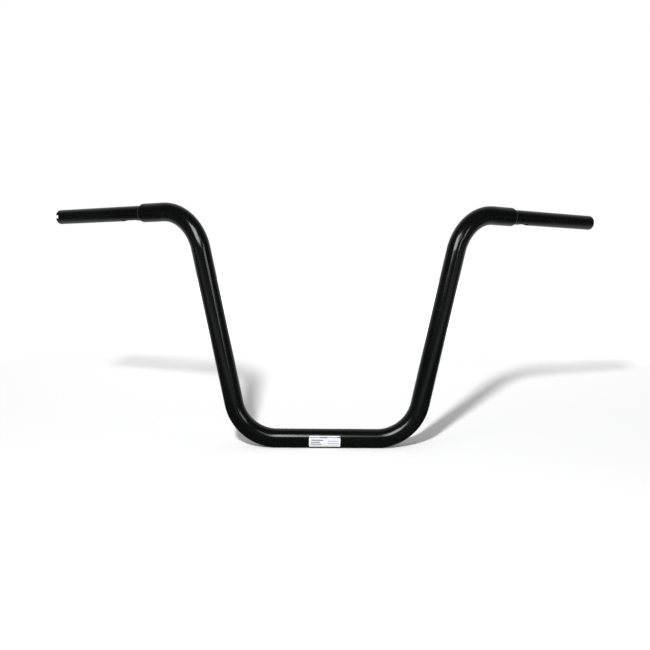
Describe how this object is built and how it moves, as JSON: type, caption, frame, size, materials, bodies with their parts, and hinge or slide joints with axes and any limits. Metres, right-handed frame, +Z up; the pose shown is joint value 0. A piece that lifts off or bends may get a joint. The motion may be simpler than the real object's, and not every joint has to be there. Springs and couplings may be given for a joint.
{
  "type": "ape hanger handlebar",
  "caption": "Tall motorcycle handlebar bent from black tube, with thinner grip tubes welded into its ends, hidden-wire holes and a slotted throttle end.",
  "frame": {"origin": "centre of the straight clamp base, on the main tube's axis", "axes": "+Z up along the uprights' plane, +X to the rider's left (clutch side), -Y to the front of the motorcycle"},
  "size_m": [0.9747, 0.198, 0.4068],
  "materials": {
    "black_coat": "gloss black powder coat",
    "weld_coat": "gloss black powder coat over a fillet weld",
    "label_vinyl": "gloss white vinyl"
  },
  "bodies": {
    "root": {"main_tube": "black_coat", "throttle_grip_tube": "black_coat", "clutch_grip_tube": "black_coat", "throttle_weld": "weld_coat", "clutch_weld": "weld_coat", "label": "label_vinyl"}
  },
  "joints": []
}
